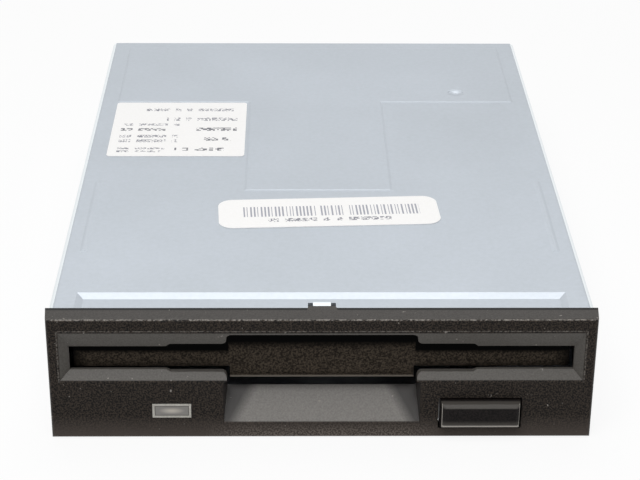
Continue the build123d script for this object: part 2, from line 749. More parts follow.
# Flap spring: a coil, drawn as a sleeve, round the flap's right-hand pin
with BuildPart() as flap_spring:
    spring_xs = (flap_spring_start + SLIP, flap_half - SLIP)
    cross_pin(HINGE_BACK, HINGE_Z, FLAP_PIN_RADIUS + RUNNING + FLAP_SPRING_WALL, spring_xs)
    cross_pin(HINGE_BACK, HINGE_Z, FLAP_PIN_RADIUS + RUNNING, spring_xs, mode=Mode.SUBTRACT)
flap_spring.part.label = "flap_spring"
export_step(flap_spring.part, "parts/flap_spring.step")

# Status lens: a clear bar in the bezel with a flange behind the face
with BuildPart() as status_lens:
    with BuildSketch(upright(0)):
        with Locations((LENS_X, LENS_Z)):
            Rectangle(LENS_WIDTH, LENS_HEIGHT)
    extrude(amount=-LENS_DEPTH)
    with BuildSketch(upright(FACE_PLATE)):
        with Locations((LENS_X, LENS_Z)):
            Rectangle(LENS_WIDTH + 2 * LENS_FLANGE, LENS_HEIGHT + 2 * LENS_FLANGE)
    extrude(amount=FACE_PLATE - LENS_DEPTH)
status_lens.part.label = "status_lens"
export_step(status_lens.part, "parts/status_lens.step")

# Status lamp: a small block with a domed front, standing on the motor board's tongue
lamp_front = LENS_DEPTH + LAMP_GAP
with BuildPart() as status_lamp:
    slab(
        (LENS_X - LENS_WIDTH / 2, LENS_X + LENS_WIDTH / 2),
        (lamp_front, lamp_front + LAMP_DEPTH),
        (floor_bottom, LENS_Z + LENS_HEIGHT / 2),
    )
    with BuildSketch(upright(lamp_front)):
        with Locations((LENS_X, LENS_Z)):
            Circle(LAMP_DOME_RADIUS)
    extrude(amount=LAMP_GAP - SLIP)
status_lamp.part.label = "status_lamp"
export_step(status_lamp.part, "parts/status_lamp.step")

# Eject button: a cap with drafted edges on a body that takes the slide plate's tongue
tongue_left = BUTTON_X - SLIDE_TONGUE_WIDTH / 2
tongue_right = BUTTON_X + SLIDE_TONGUE_WIDTH / 2
with BuildPart() as eject_button:
    front_taper(
        (-BUTTON_PROUD, BUTTON_X - BUTTON_FACE_WIDTH / 2, BUTTON_X + BUTTON_FACE_WIDTH / 2,
         BUTTON_FACE_LOW, BUTTON_FACE_LOW + BUTTON_FACE_HEIGHT),
        (0, button_left, button_right, BUTTON_LOW, button_high),
    )
    chamfer(eject_button.edges().group_by(Axis.Y)[0], length=BUTTON_EDGE)
    slab((button_left, button_right), (0, BUTTON_BODY), (BUTTON_LOW, button_high))
    slab(
        (tongue_left - SLIP, tongue_right + SLIP),
        (BUTTON_BODY - BUTTON_SOCKET, BUTTON_BODY + OVERRUN),
        (SLIDE_ARM_Z - SLIP, SLIDE_ARM_Z + SLIDE_SHEET + SLIP),
        mode=Mode.SUBTRACT,
    )
eject_button.part.label = "eject_button"
export_step(eject_button.part, "parts/eject_button.step")


# Top cover: the space under its skin, taken once at full size and once a sheet smaller
def cover_space(inset):
    half = cover_outer - inset
    top = COVER_TOP - inset
    front = cover_front - (OVERRUN if inset else 0)
    low = COVER_TOP - COVER_SKIRT - (OVERRUN if inset else 0)
    with BuildPart() as space:
        with BuildSketch(upright(front)) as section:
            area(-half, half, low, top)
            fillet(section.vertices().group_by(Axis.Y)[-1], radius=COVER_BEND - inset)
        extrude(amount=front - (BODY_LENGTH - inset))
        level_taper(
            (top - LEDGE_DROP, -ledge_half, ledge_half, front - OVERRUN, LEDGE_BACK),
            (top, -ledge_half - LEDGE_SIDE_SLOPE, ledge_half + LEDGE_SIDE_SLOPE,
             front - OVERRUN, LEDGE_BACK + LEDGE_SLOPE),
            mode=Mode.SUBTRACT,
        )
        raised = (
            (PANEL_RISE, PANEL_SLOPE, -stem_half, stem_half, stem_back, bar_back + 2 * PANEL_SLOPE),
            (PANEL_RISE, PANEL_SLOPE, -bar_half, bar_half, bar_back, BODY_LENGTH - BAR_END_GAP),
            (BEAD_RISE, BEAD_WIDTH / 3, -bead_x - BEAD_WIDTH / 2, -bead_x + BEAD_WIDTH / 2,
             BEAD_BACK, BEAD_BACK + BEAD_LENGTH),
            (BEAD_RISE, BEAD_WIDTH / 3, bead_x - BEAD_WIDTH / 2, bead_x + BEAD_WIDTH / 2,
             BEAD_BACK, BEAD_BACK + BEAD_LENGTH),
        )
        for rise, slope, x_low, x_high, back_low, back_high in raised:
            level_taper(
                (top, x_low, x_high, back_low, back_high),
                (top + rise, x_low + slope, x_high - slope, back_low + slope, back_high - slope),
            )
        with Locations((dimple_x, FACE_Y + dimple_back, top + PANEL_RISE - DIMPLE_DROP / 2)):
            Cone(DIMPLE_RADIUS * DIMPLE_FLOOR_SHARE, DIMPLE_RADIUS, DIMPLE_DROP, mode=Mode.SUBTRACT)
    return space.part


cover_body = cover_space(0)
cover_hollow = cover_space(COVER_SHEET)
with BuildPart() as top_cover:
    add(cover_body)
    add(cover_hollow, mode=Mode.SUBTRACT)
    # Front notch for the bezel's tongue, with a relief slot each side of a small tab
    with BuildSketch(level(COVER_TOP)):
        with BuildLine():
            Polyline(
                (-NOTCH_HALF, cover_front),
                (NOTCH_HALF, cover_front),
                (NOTCH_REAR_HALF, NOTCH_BACK),
                (-NOTCH_REAR_HALF, NOTCH_BACK),
                close=True,
            )
        make_face()
        for hand in (-1, 1):
            area(*sorted((hand * TAB_HALF, hand * NOTCH_REAR_HALF)), cover_front, RELIEF_BACK)
    extrude(amount=-2 * OVERRUN, mode=Mode.SUBTRACT)
    # The rear skirt is shorter, and leaves the connectors open
    slab(
        (-cover_inner, cover_inner),
        (BODY_LENGTH - COVER_SHEET - OVERRUN, BODY_LENGTH + OVERRUN),
        (COVER_TOP - COVER_SKIRT - OVERRUN, COVER_TOP - COVER_REAR_SKIRT),
        mode=Mode.SUBTRACT,
    )
    # Windows in the side skirts snap over catches on the chassis
    with BuildSketch(side(-cover_outer - OVERRUN)):
        for back in catch_backs:
            with Locations((back, catch_z)):
                Rectangle(CATCH_LENGTH + 2 * SLIP, CATCH_HEIGHT + 2 * SLIP)
    extrude(amount=2 * (cover_outer + OVERRUN), mode=Mode.SUBTRACT)
top_cover.part.label = "top_cover"
export_step(top_cover.part, "parts/top_cover.step")

# Paper labels stuck on the cover
with BuildPart() as rating_label:
    with BuildSketch(level(COVER_TOP)):
        with Locations((rating_x, rating_back)):
            RectangleRounded(RATING_WIDTH, RATING_LENGTH, RATING_RADIUS)
    extrude(amount=LABEL_THICKNESS)
rating_label.part.label = "rating_label"
export_step(rating_label.part, "parts/rating_label.step")

with BuildPart() as barcode_label:
    with BuildSketch(level(COVER_TOP)):
        with Locations((BARCODE_X, barcode_back)):
            RectangleRounded(BARCODE_WIDTH, BARCODE_LENGTH, BARCODE_RADIUS, rotation=BARCODE_TURN)
    extrude(amount=LABEL_THICKNESS)
barcode_label.part.label = "barcode_label"
export_step(barcode_label.part, "parts/barcode_label.step")

# Chassis: one cast section, then its openings, bosses, posts and holes
wall_top = COVER_TOP - COVER_BEND - SLIP
pin_slot_low = carrier_pin_z - CARRIER_DROP
pin_slot_high = carrier_pin_z + CARRIER_DROP * PRESS_TRAVEL / LOAD_TRAVEL
lug_z = slide_top + GLIDE
spring_z = lug_z + LUG_HEIGHT / 2
with BuildPart() as chassis:
    with BuildSketch(upright(chassis_front)):
        area(-rail_outer, rail_outer, floor_bottom, FLOOR_TOP)
        for hand in (-1, 1):
            area(*sorted((hand * wall_inner, hand * rail_outer)), 0, RAIL_HEIGHT)
            area(*sorted((hand * wall_inner, hand * wall_outer)), 0, wall_top)
    extrude(amount=chassis_front - chassis_end)
    # Open floor behind the bezel's lamp and button, at a front window, under the heads and at the rear
    with BuildSketch(level(floor_bottom - OVERRUN)):
        area(LENS_X - LENS_WIDTH / 2 - FRONT_NOTCH_GAP, LENS_X + LENS_WIDTH / 2 + FRONT_NOTCH_GAP,
             chassis_front - OVERRUN, lamp_front + LAMP_DEPTH + FRONT_NOTCH_GAP)
        area(button_left - FRONT_NOTCH_GAP, button_right + FRONT_NOTCH_GAP,
             chassis_front - OVERRUN, BUTTON_BODY + PRESS_TRAVEL + FRONT_NOTCH_GAP)
        for hand in (-1, 1):
            area(hand * hook_x - HOOK_WIDTH / 2 - SLIP, hand * hook_x + HOOK_WIDTH / 2 + SLIP,
                 hook_end - HOOK_NUB_LENGTH - SLIP, hook_end + SLIP)
        area(-rear_opening_half, rear_opening_half, rear_opening_back, floor_end + OVERRUN)
        area(-FLOOR_WINDOW_HALF, FLOOR_WINDOW_HALF,
             side_hole_backs[0] - FLOOR_WINDOW_LENGTH / 2, side_hole_backs[0] + FLOOR_WINDOW_LENGTH / 2)
        area(-wall_inner, wall_inner, floor_end, chassis_end + OVERRUN)
        with Locations((0, spindle_back)):
            Circle(BEARING_RADIUS + RUNNING)
    extrude(amount=FLOOR_THICKNESS + 2 * OVERRUN, mode=Mode.SUBTRACT)
    for hand in (-1, 1):
        # Posts that the loaded disk lies on
        for back in post_backs:
            post(hand * POST_X, back, POST_RADIUS, (FLOOR_TOP, DISK_LOADED_Z))
        # Front posts for the rod and the lead screw
        slab(
            (hand * rod_x - ROD_POST_WIDTH / 2, hand * rod_x + ROD_POST_WIDTH / 2),
            (rod_front, rod_post_end),
            (FLOOR_TOP, ROD_POST_TOP),
        )
        # Studs that guide the slide plate, lugs for its springs, catches for the cover
        cross_pin(stud_back, stud_z, STUD_RADIUS, sorted((hand * wall_inner, hand * slide_inner)))
        slab(
            sorted((hand * wall_inner, hand * (spring_x - SPRING_HOOK_WIDTH))),
            (lug_back - LUG_LENGTH, lug_back),
            (lug_z, lug_z + LUG_HEIGHT),
        )
        for back in catch_backs:
            slab(
                sorted((hand * wall_outer, hand * (wall_outer + CATCH_PROUD))),
                (back - CATCH_LENGTH / 2, back + CATCH_LENGTH / 2),
                (catch_z - CATCH_HEIGHT / 2, catch_z + CATCH_HEIGHT / 2),
            )
        # Bosses for the side and base screws
        for back in side_hole_backs:
            slab(
                sorted((hand * wall_inner, hand * (wall_inner - SIDE_BOSS_REACH))),
                (back - SIDE_BOSS_LENGTH / 2, back + SIDE_BOSS_LENGTH / 2),
                (SIDE_HOLE_Z - SIDE_BOSS_HEIGHT / 2, SIDE_HOLE_Z + SIDE_BOSS_HEIGHT / 2),
            )
            cross_pin(back, SIDE_HOLE_Z, MOUNT_HOLE_RADIUS,
                      sorted((hand * (wall_inner - SIDE_BOSS_REACH), hand * (rail_outer + OVERRUN))),
                      mode=Mode.SUBTRACT)
        for back in base_hole_backs:
            slab((hand * base_hole_x - BASE_BOSS_HALF, hand * base_hole_x + BASE_BOSS_HALF),
                 (back - BASE_BOSS_HALF, back + BASE_BOSS_HALF), (0, floor_bottom))
            post(hand * base_hole_x, back, MOUNT_HOLE_RADIUS, (-OVERRUN, BASE_HOLE_DEPTH), mode=Mode.SUBTRACT)
        # Pads and pilot holes for the two boards
        for back in board_screw_backs:
            slab((hand * board_screw_x - PAD_HALF, hand * board_screw_x + PAD_HALF),
                 (back - PAD_HALF, back + PAD_HALF), (board_top, floor_bottom))
            shank(hand * board_screw_x, back, SCREW_RADIUS + SLIP,
                  (board_top - OVERRUN, board_bottom + BOARD_THICKNESS + SCREW_BITE), mode=Mode.SUBTRACT)
        for back in motor_screw_backs:
            shank(hand * motor_screw_x, back, SCREW_RADIUS + SLIP,
                  (board_top, board_top + SCREW_BITE + SLIP), mode=Mode.SUBTRACT)
        shank(hand * foot_screw_x, foot_screw_back, SCREW_RADIUS + SLIP,
              (foot_top - SCREW_BITE - SLIP, foot_top), mode=Mode.SUBTRACT)
        # Upright slots that keep the carrier's pins from moving along
        for back in carrier_pin_backs:
            slab(
                sorted((hand * (wall_inner - OVERRUN), hand * (wall_outer + OVERRUN))),
                (back - CARRIER_PIN_RADIUS - CAM_CLEARANCE, back + CARRIER_PIN_RADIUS + CAM_CLEARANCE),
                (pin_slot_low - CARRIER_PIN_RADIUS - GLIDE, pin_slot_high + CARRIER_PIN_RADIUS + GLIDE),
                mode=Mode.SUBTRACT,
            )
    rod(rod_x, ROD_Z, ROD_RADIUS + RUNNING, (rod_front - OVERRUN, rod_post_end + OVERRUN),
        mode=Mode.SUBTRACT)
    rod(-rod_x, ROD_Z, SCREW_LINE_RADIUS + RUNNING, (rod_front - OVERRUN, rod_post_end + OVERRUN),
        mode=Mode.SUBTRACT)
chassis.part.label = "chassis"
export_step(chassis.part, "parts/chassis.step")

# Disk carrier: a folded channel with lips under the disk's edges
lever_angle = radians(LEVER_ANGLE)
lever_press_swing = LEVER_SWING * PRESS_TRAVEL / LOAD_TRAVEL
lever_tip_x = LEVER_X + LEVER_REACH * cos(lever_angle)
lever_tip_back = lever_back + LEVER_REACH * sin(lever_angle)
lever_tail_x = LEVER_X - LEVER_TAIL * cos(lever_angle)
lever_tail_back = lever_back - LEVER_TAIL * sin(lever_angle)
lever_post_back = lever_tail_back - LEVER_SPRING_LENGTH
lever_low = carrier_top + SLIP
lever_high = lever_low + LEVER_THICKNESS
lever_spring_z = (lever_low + lever_high) / 2
with BuildPart() as disk_carrier:
    with BuildSketch(upright(CARRIER_FRONT_BACK)):
        area(-carrier_outer, carrier_outer, CARRIER_LIP_Z, carrier_top)
        area(-carrier_inner, carrier_inner, CARRIER_LIP_Z + CARRIER_SHEET, carrier_ceiling,
             mode=Mode.SUBTRACT)
        area(CARRIER_LIP - carrier_inner, carrier_inner - CARRIER_LIP,
             CARRIER_LIP_Z, CARRIER_LIP_Z + CARRIER_SHEET, mode=Mode.SUBTRACT)
    extrude(amount=CARRIER_FRONT_BACK - carrier_end)
    # Mouth for the upper head's arm, and the arc that the lever's pin sweeps
    with BuildSketch(level(carrier_ceiling - SLIP)):
        area(-CARRIER_MOUTH_HALF, CARRIER_MOUTH_HALF,
             carrier_end - CARRIER_MOUTH_LENGTH, carrier_end + OVERRUN)
        with BuildLine() as sweep_line:
            CenterArc((LEVER_X, lever_back), LEVER_REACH, LEVER_ANGLE - 2 * lever_press_swing,
                      LEVER_SWING + 3 * lever_press_swing)
        SlotArc(sweep_line.edge(), 2 * (LEVER_PIN_RADIUS + GLIDE))
    extrude(amount=CARRIER_SHEET + 2 * SLIP, mode=Mode.SUBTRACT)
    slab(
        (lever_tail_x - LEVER_POST_WIDTH / 2, lever_tail_x + LEVER_POST_WIDTH / 2),
        (lever_post_back - LEVER_POST_WIDTH, lever_post_back),
        (carrier_top, lever_high),
    )
disk_carrier.part.label = "disk_carrier"
export_step(disk_carrier.part, "parts/disk_carrier.step")

# Carrier pins: four, run in the cam slots of the slide plate and the slots of the chassis
with BuildPart() as carrier_pins:
    for hand in (-1, 1):
        for back in carrier_pin_backs:
            cross_pin(back, carrier_pin_z, CARRIER_PIN_RADIUS,
                      sorted((hand * carrier_outer, hand * (wall_outer - GLIDE))))
carrier_pins.part.label = "carrier_pins"
export_step(carrier_pins.part, "parts/carrier_pins.step")

# Slide plate: a band with two flanges, a leg and arm down to the button
cam_slope = CARRIER_DROP / LOAD_TRAVEL
cam_start = -PRESS_TRAVEL - GLIDE
cam_end = LOAD_TRAVEL + GLIDE
with BuildPart() as slide_plate:
    with BuildSketch(upright(SLIDE_FRONT_BACK)):
        area(-slide_outer, slide_outer, slide_top - SLIDE_FLANGE, slide_top)
        area(-slide_inner, slide_inner, slide_top - SLIDE_FLANGE, slide_bottom, mode=Mode.SUBTRACT)
    extrude(amount=SLIDE_FRONT_BACK - slide_end)
    slab(
        (-SLIDE_OPENING_HALF, SLIDE_OPENING_HALF),
        (slide_band_end, slide_end + OVERRUN),
        (slide_bottom - SLIP, slide_top + SLIP),
        mode=Mode.SUBTRACT,
    )
    slab((slide_inner, slide_outer), (SLIDE_FRONT_BACK, SLIDE_FRONT_BACK + SLIDE_LEG_LENGTH),
         (SLIDE_ARM_Z, slide_top - SLIDE_FLANGE))
    with BuildSketch(level(SLIDE_ARM_Z)):
        area(tongue_left, slide_outer, SLIDE_FRONT_BACK, SLIDE_FRONT_BACK + SLIDE_ARM_LENGTH)
        area(tongue_left, tongue_right, BUTTON_BODY - BUTTON_SOCKET, SLIDE_FRONT_BACK)
    extrude(amount=SLIDE_SHEET)
    # Sloping cam slots, and level slots for the guide studs
    with BuildSketch(side(-slide_outer - OVERRUN)):
        for back in carrier_pin_backs:
            with BuildLine() as cam_line:
                Line((back + cam_start, carrier_pin_z - cam_slope * cam_start),
                     (back + cam_end, carrier_pin_z - cam_slope * cam_end))
            SlotArc(cam_line.edge(), 2 * (CARRIER_PIN_RADIUS + CAM_CLEARANCE))
        with BuildLine() as stud_line:
            Line((stud_back + cam_start, stud_z), (stud_back + cam_end, stud_z))
        SlotArc(stud_line.edge(), 2 * (STUD_RADIUS + CAM_CLEARANCE))
    extrude(amount=2 * (slide_outer + OVERRUN), mode=Mode.SUBTRACT)
    for hand in (-1, 1):
        slab(
            (hand * spring_x - SPRING_HOOK_WIDTH / 2, hand * spring_x + SPRING_HOOK_WIDTH / 2),
            (spring_hook_back, spring_hook_back + SPRING_HOOK_LENGTH),
            (slide_top, lug_z + LUG_HEIGHT),
        )
slide_plate.part.label = "slide_plate"
export_step(slide_plate.part, "parts/slide_plate.step")

# Slide springs: two pull springs between the chassis lugs and the slide plate, drawn as tubes
with BuildPart() as slide_springs:
    for hand in (-1, 1):
        ends = (lug_back, spring_hook_back)
        rod(hand * spring_x, spring_z, SPRING_RADIUS, ends)
        rod(hand * spring_x, spring_z, SPRING_RADIUS - SPRING_WIRE, ends, mode=Mode.SUBTRACT)
slide_springs.part.label = "slide_springs"
export_step(slide_springs.part, "parts/slide_springs.step")

# Shutter lever: a tapered arm with a tail for its spring and a pin that meets the disk's shutter
with BuildPart() as shutter_lever:
    with BuildSketch(level(lever_low)):
        for x, back, width in (
            (LEVER_X, lever_back, LEVER_WIDTH),
            (lever_tip_x, lever_tip_back, LEVER_TIP_WIDTH),
            (lever_tail_x, lever_tail_back, LEVER_TIP_WIDTH),
        ):
            with Locations((x, back)):
                Circle(width / 2)
        make_hull()
        with Locations((LEVER_X, lever_back)):
            Circle(RIVET_RADIUS + RUNNING, mode=Mode.SUBTRACT)
    extrude(amount=LEVER_THICKNESS)
    post(lever_tip_x, lever_tip_back, LEVER_PIN_RADIUS, (lever_high - LEVER_PIN_DROP, lever_high))
shutter_lever.part.label = "shutter_lever"
export_step(shutter_lever.part, "parts/shutter_lever.step")

# Lever rivet on the carrier, and the lever's pull spring
with BuildPart() as lever_rivet:
    post(LEVER_X, lever_back, RIVET_RADIUS, (carrier_top, lever_high + SLIP))
    post(LEVER_X, lever_back, RIVET_HEAD_RADIUS, (lever_high + SLIP, lever_high + SLIP + RIVET_HEAD))
lever_rivet.part.label = "lever_rivet"
export_step(lever_rivet.part, "parts/lever_rivet.step")

with BuildPart() as lever_spring:
    rod(lever_tail_x, lever_spring_z, LEVER_SPRING_RADIUS,
        (lever_post_back, lever_tail_back - LEVER_TIP_WIDTH / 2))
lever_spring.part.label = "lever_spring"
export_step(lever_spring.part, "parts/lever_spring.step")


# Spindle motor: turned pieces about the spindle's upright axis
def turned(points, mode=Mode.ADD):
    """A turned form about the spindle, from its half outline as radius and height."""
    with BuildSketch(side(0)) as half:
        with BuildLine():
            Polyline(*[(spindle_back + radius, height) for radius, height in points], close=True)
        make_face()
    revolve(half.sketch, axis=Axis((0, FACE_Y + spindle_back, 0), (0, 0, 1)), mode=mode)


def sleeve(inner, outer, low, high):
    """The half outline of a plain ring."""
    return [(inner, low), (outer, low), (outer, high), (inner, high)]


rotor_floor = ROTOR_LOW + ROTOR_SHEET
magnet_outer = ROTOR_RADIUS - ROTOR_SHEET
flange_low = motor_board_low - BEARING_FLANGE
stator_low = flange_low - STATOR_SHEET
hub_low = BEARING_TOP + HUB_GAP
hub_plate_low = hub_low + HUB_BOSS
hub_top = hub_plate_low + HUB_SHEET
shaft_bore = SHAFT_RADIUS + RUNNING

with BuildPart() as rotor_cup:
    turned([
        (shaft_bore, ROTOR_LOW),
        (ROTOR_RADIUS, ROTOR_LOW),
        (ROTOR_RADIUS, ROTOR_LOW + ROTOR_RIM),
        (magnet_outer, ROTOR_LOW + ROTOR_RIM),
        (magnet_outer, rotor_floor),
        (shaft_bore, rotor_floor),
    ])
    with BuildSketch(level(ROTOR_LOW - OVERRUN)):
        with Locations((0, spindle_back)):
            with PolarLocations(ROTOR_HOLE_CIRCLE, ROTOR_HOLES):
                Circle(ROTOR_HOLE_RADIUS)
    extrude(amount=ROTOR_SHEET + 2 * OVERRUN, mode=Mode.SUBTRACT)
rotor_cup.part.label = "rotor_cup"
export_step(rotor_cup.part, "parts/rotor_cup.step")

with BuildPart() as rotor_magnet:
    turned(sleeve(magnet_outer - MAGNET_WALL, magnet_outer - RUNNING,
                  rotor_floor, rotor_floor + MAGNET_HEIGHT))
rotor_magnet.part.label = "rotor_magnet"
export_step(rotor_magnet.part, "parts/rotor_magnet.step")

with BuildPart() as spindle_shaft:
    post(0, spindle_back, SHAFT_RADIUS, (ROTOR_LOW, SHAFT_TIP))
    chamfer(spindle_shaft.edges().group_by(Axis.Z)[-1], length=SHAFT_RADIUS / 4)
spindle_shaft.part.label = "spindle_shaft"
export_step(spindle_shaft.part, "parts/spindle_shaft.step")

with BuildPart() as spindle_bearing:
    turned([
        (shaft_bore, rotor_floor + GLIDE),
        (BEARING_RADIUS, rotor_floor + GLIDE),
        (BEARING_RADIUS, flange_low),
        (BEARING_FLANGE_RADIUS, flange_low),
        (BEARING_FLANGE_RADIUS, motor_board_low),
        (BEARING_RADIUS, motor_board_low),
        (BEARING_RADIUS, BEARING_TOP),
        (shaft_bore, BEARING_TOP),
    ])
spindle_bearing.part.label = "spindle_bearing"
export_step(spindle_bearing.part, "parts/spindle_bearing.step")

# Stator: a toothed ring under the bearing's flange, with a coil on each tooth
shoe_middle = STATOR_RADIUS - SHOE_LENGTH / 2
with BuildPart() as stator_core:
    with BuildSketch(level(stator_low)):
        with Locations((0, spindle_back)):
            Circle(STATOR_RING_RADIUS)
            with PolarLocations((STATOR_BORE_RADIUS + shoe_middle) / 2, STATOR_TEETH):
                Rectangle(shoe_middle - STATOR_BORE_RADIUS, TOOTH_WIDTH)
            with PolarLocations(shoe_middle, STATOR_TEETH):
                Rectangle(SHOE_LENGTH, SHOE_WIDTH)
            Circle(STATOR_BORE_RADIUS, mode=Mode.SUBTRACT)
    extrude(amount=STATOR_SHEET)
stator_core.part.label = "stator_core"
export_step(stator_core.part, "parts/stator_core.step")

with BuildPart() as stator_coils:
    with BuildSketch(level(stator_low - COIL_RISE)):
        with Locations((0, spindle_back)):
            with PolarLocations(coil_start + COIL_LENGTH / 2, STATOR_TEETH):
                Rectangle(COIL_LENGTH, TOOTH_WIDTH + 2 * COIL_WALL)
    extrude(amount=STATOR_SHEET + 2 * COIL_RISE)
    with BuildSketch(level(stator_low)):
        with Locations((0, spindle_back)):
            with PolarLocations(coil_start + COIL_LENGTH / 2, STATOR_TEETH):
                Rectangle(COIL_LENGTH + OVERRUN, TOOTH_WIDTH)
    extrude(amount=STATOR_SHEET, mode=Mode.SUBTRACT)
stator_coils.part.label = "stator_coils"
export_step(stator_coils.part, "parts/stator_coils.step")

# Spindle hub: a flanged plate with a magnet ring and a sprung drive pin
with BuildPart() as spindle_hub:
    turned([
        (shaft_bore, hub_low),
        (HUB_BOSS_RADIUS, hub_low),
        (HUB_BOSS_RADIUS, hub_plate_low),
        (HUB_RADIUS, hub_plate_low),
        (HUB_RADIUS, hub_top),
        (shaft_bore, hub_top),
    ])
    post(DRIVE_PIN_CIRCLE, spindle_back, DRIVE_PIN_RADIUS + RUNNING,
         (hub_plate_low - OVERRUN, hub_top + OVERRUN), mode=Mode.SUBTRACT)
spindle_hub.part.label = "spindle_hub"
export_step(spindle_hub.part, "parts/spindle_hub.step")

with BuildPart() as hub_magnet:
    turned(sleeve(HUB_MAGNET_INNER, HUB_MAGNET_OUTER, hub_top, hub_top + HUB_MAGNET_HEIGHT))
hub_magnet.part.label = "hub_magnet"
export_step(hub_magnet.part, "parts/hub_magnet.step")

drive_pin_low = hub_plate_low - DRIVE_PIN_FLANGE
with BuildPart() as drive_pin:
    post(DRIVE_PIN_CIRCLE, spindle_back, DRIVE_PIN_FLANGE_RADIUS, (drive_pin_low, hub_plate_low))
    post(DRIVE_PIN_CIRCLE, spindle_back, DRIVE_PIN_RADIUS, (drive_pin_low, drive_pin_low + DRIVE_PIN_LENGTH))
drive_pin.part.label = "drive_pin"
export_step(drive_pin.part, "parts/drive_pin.step")

# Motor board under the floor, with a tongue that carries the status lamp
with BuildPart() as motor_board:
    with BuildSketch(level(motor_board_low)):
        with Locations((0, (motor_board_front + motor_board_end) / 2)):
            RectangleRounded(2 * motor_board_half, motor_board_end - motor_board_front, BOARD_CORNER)
        area(LENS_X - LAMP_TONGUE_WIDTH / 2, LENS_X + LAMP_TONGUE_WIDTH / 2,
             LAMP_TONGUE_BACK, motor_board_front + BOARD_CORNER)
        with Locations((0, spindle_back)):
            Circle(BEARING_RADIUS + RUNNING, mode=Mode.SUBTRACT)
        for hand in (-1, 1):
            for back in motor_screw_backs:
                with Locations((hand * motor_screw_x, back)):
                    RegularPolygon(SCREW_RADIUS + SLIP, SCREW_SIDES, mode=Mode.SUBTRACT)
    extrude(amount=MOTOR_BOARD_THICKNESS)
motor_board.part.label = "motor_board"
export_step(motor_board.part, "parts/motor_board.step")

with BuildPart() as motor_chip:
    slab(
        (MOTOR_CHIP_X - MOTOR_CHIP_WIDTH / 2, MOTOR_CHIP_X + MOTOR_CHIP_WIDTH / 2),
        (motor_chip_back - MOTOR_CHIP_LENGTH / 2, motor_chip_back + MOTOR_CHIP_LENGTH / 2),
        (motor_board_low - CHIP_HEIGHT, motor_board_low),
    )
motor_chip.part.label = "motor_chip"
export_step(motor_chip.part, "parts/motor_chip.step")

with BuildPart() as motor_screws:
    for hand in (-1, 1):
        for back in motor_screw_backs:
            pan_screw(hand * motor_screw_x, back, motor_board_low, SCREW_BITE)
motor_screws.part.label = "motor_screws"
export_step(motor_screws.part, "parts/motor_screws.step")

# Main board at the rear, with its chips underneath and its connectors on top
with BuildPart() as main_board:
    with BuildSketch(level(board_bottom)):
        with Locations((0, (board_front + board_end) / 2)):
            RectangleRounded(2 * board_half, board_end - board_front, BOARD_CORNER)
        for hand in (-1, 1):
            for back in board_screw_backs:
                with Locations((hand * board_screw_x, back)):
                    RegularPolygon(SCREW_RADIUS + SLIP, SCREW_SIDES, mode=Mode.SUBTRACT)
    extrude(amount=BOARD_THICKNESS)
main_board.part.label = "main_board"
export_step(main_board.part, "parts/main_board.step")

with BuildPart() as board_screws:
    for hand in (-1, 1):
        for back in board_screw_backs:
            pan_screw(hand * board_screw_x, back, board_bottom, BOARD_THICKNESS + SCREW_BITE - SLIP)
board_screws.part.label = "board_screws"
export_step(board_screws.part, "parts/board_screws.step")

with BuildPart() as controller_chip:
    slab(
        (CONTROLLER_X - CONTROLLER_WIDTH / 2, CONTROLLER_X + CONTROLLER_WIDTH / 2),
        (controller_back - CONTROLLER_WIDTH / 2, controller_back + CONTROLLER_WIDTH / 2),
        (board_bottom - CHIP_HEIGHT, board_bottom),
    )
controller_chip.part.label = "controller_chip"
export_step(controller_chip.part, "parts/controller_chip.step")

with BuildPart() as amplifier_chip:
    slab(
        (AMPLIFIER_X - AMPLIFIER_WIDTH / 2, AMPLIFIER_X + AMPLIFIER_WIDTH / 2),
        (amplifier_back - AMPLIFIER_WIDTH / 2, amplifier_back + AMPLIFIER_WIDTH / 2),
        (board_bottom - CHIP_HEIGHT, board_bottom),
    )
amplifier_chip.part.label = "amplifier_chip"
export_step(amplifier_chip.part, "parts/amplifier_chip.step")

with BuildPart() as capacitors:
    for x in capacitor_xs:
        post(x, capacitor_back, CAPACITOR_RADIUS, (board_top, board_top + CAPACITOR_HEIGHT))
capacitors.part.label = "capacitors"
export_step(capacitors.part, "parts/capacitors.step")

# Ribbon that joins the two boards
ribbon_high = board_top + RIBBON_SHEET / 2
ribbon_low = board_top - RIBBON_SHEET / 2
ribbon_step = (board_front - motor_board_end) / 3
with BuildPart() as motor_ribbon:
    with BuildSketch(side(RIBBON_X - RIBBON_WIDTH / 2)):
        with BuildLine():
            Polyline(
                (motor_board_end - RIBBON_LAP, ribbon_low),
                (motor_board_end + ribbon_step, ribbon_low),
                (board_front - ribbon_step, ribbon_high),
                (board_front + RIBBON_LAP, ribbon_high),
            )
        trace(line_width=RIBBON_SHEET)
    extrude(amount=RIBBON_WIDTH)
motor_ribbon.part.label = "motor_ribbon"
export_step(motor_ribbon.part, "parts/motor_ribbon.step")


# Rear connectors: an open-topped tray with bent pins through its back wall
def connector_tray(x, half, front, back_wall, height):
    slab((x - half, x + half), (front, BODY_LENGTH), (board_top, board_top + CONNECTOR_WALL))
    slab((x - half, x + half), (front, front + back_wall), (board_top, board_top + height))
    for hand in (-1, 1):
        slab(
            sorted((x + hand * half, x + hand * (half - CONNECTOR_WALL))),
            (front, BODY_LENGTH),
            (board_top, board_top + height),
        )


def pin_bore(x, z, front, back_wall):
    """The square hole that a pin passes through in the tray's back wall."""
    half = PIN_SIDE / 2 + RUNNING
    slab((x - half, x + half), (front - OVERRUN, front + back_wall + OVERRUN), (z - half, z + half),
         mode=Mode.SUBTRACT)


